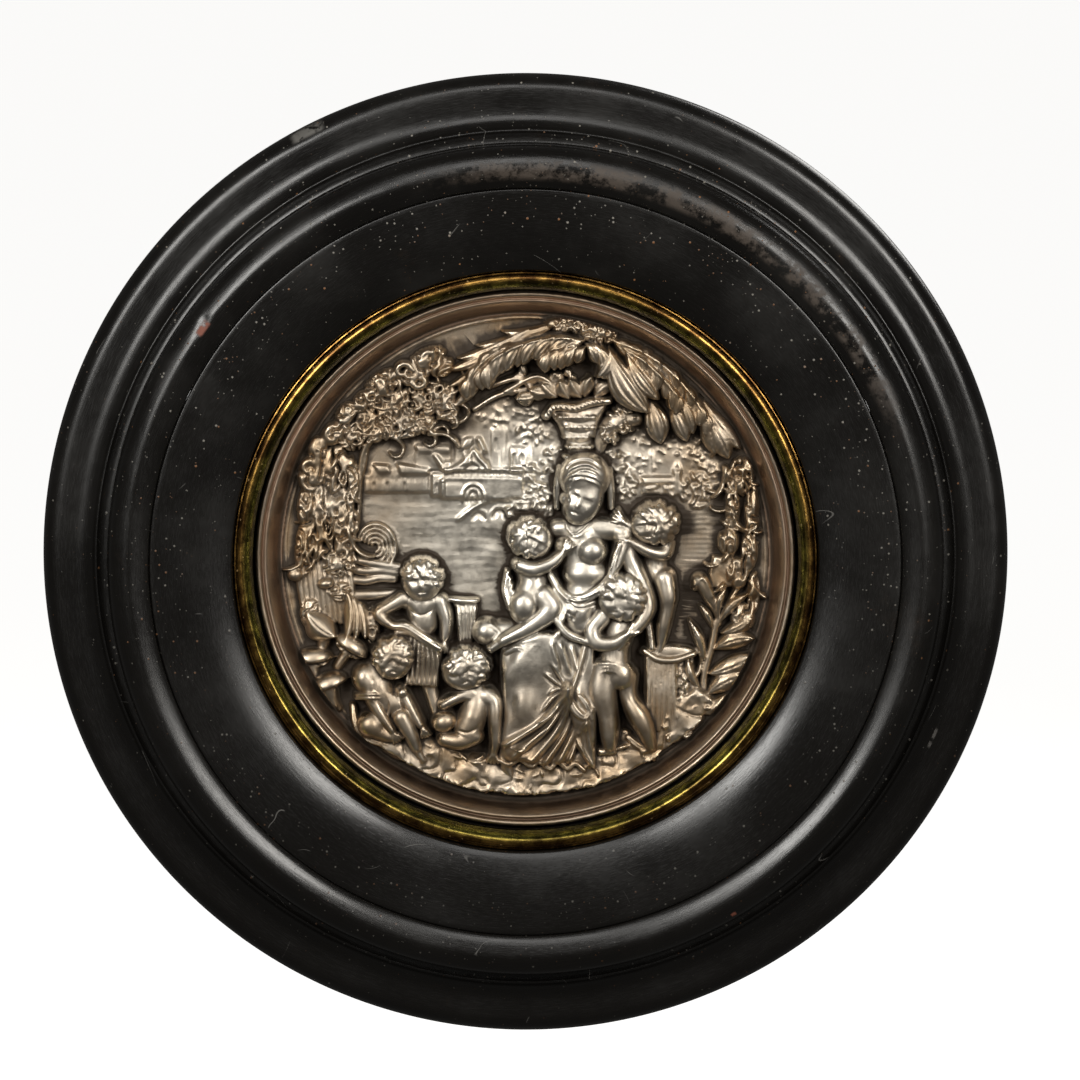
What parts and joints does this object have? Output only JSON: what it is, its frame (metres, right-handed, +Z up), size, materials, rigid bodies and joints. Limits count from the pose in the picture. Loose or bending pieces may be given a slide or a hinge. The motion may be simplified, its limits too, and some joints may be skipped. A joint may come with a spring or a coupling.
{
  "type": "relief plaque",
  "caption": "Round wall plaque: a silvered figural relief of a seated woman with children under a palm, behind a brass bead, in a turned ebonised wood frame.",
  "frame": {"origin": "centre of the flat back, where the plaque lies on the wall", "axes": "+Z up, the relief faces -Y, +Y into the wall, +X to the viewer's right"},
  "size_m": [0.24, 0.0256, 0.24],
  "materials": {
    "ebonised_wood": "glossy ebonised, turned, worn and dusty",
    "brass": "polished, tarnished to olive at its inner edge",
    "silvered_relief": "silvered, with a warm brown patina in the hollows"
  },
  "bodies": {
    "root": {"outer_frame": "ebonised_wood", "centre_board": "ebonised_wood", "brass_slip": "brass", "relief_plate": "silvered_relief"}
  },
  "joints": []
}
